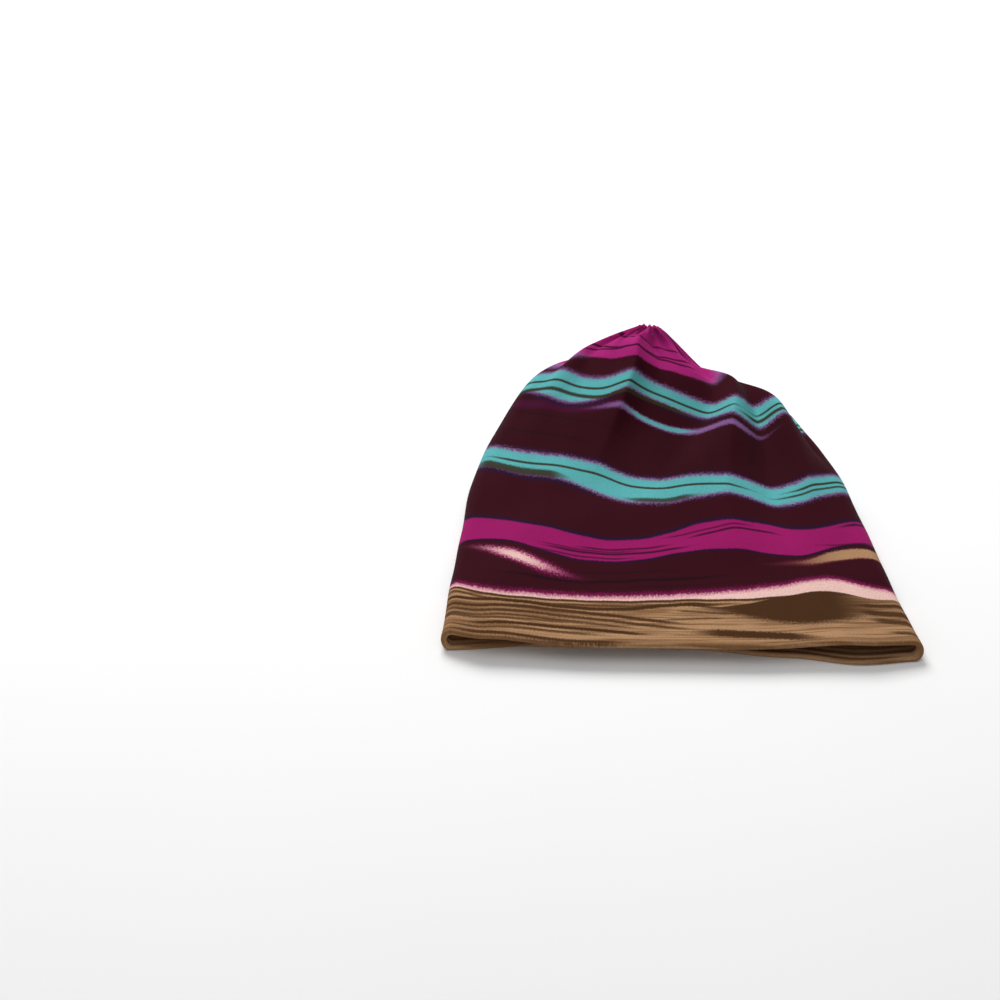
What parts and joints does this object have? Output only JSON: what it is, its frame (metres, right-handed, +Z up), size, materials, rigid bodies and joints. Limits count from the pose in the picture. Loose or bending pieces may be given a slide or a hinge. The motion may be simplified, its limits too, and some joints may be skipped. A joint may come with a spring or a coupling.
{
  "type": "nightcap",
  "caption": "Soft stretch-jersey nightcap lying flat, with a wide turned-in brim, an open mouth and a crown gathered to a point, in blurred cross stripes.",
  "frame": {"origin": "middle of the cap's outline on the surface that it lies on", "axes": "+Z up from the surface, -Y out of the mouth, +Y towards the gathered crown, X along the brim"},
  "size_m": [0.2624, 0.2612, 0.0609],
  "materials": {
    "printed_jersey": "matte stretch jersey, printed with blurred cross stripes in wine, magenta, turquoise and tan"
  },
  "bodies": {
    "root": {"cap_body": "printed_jersey"}
  },
  "joints": []
}
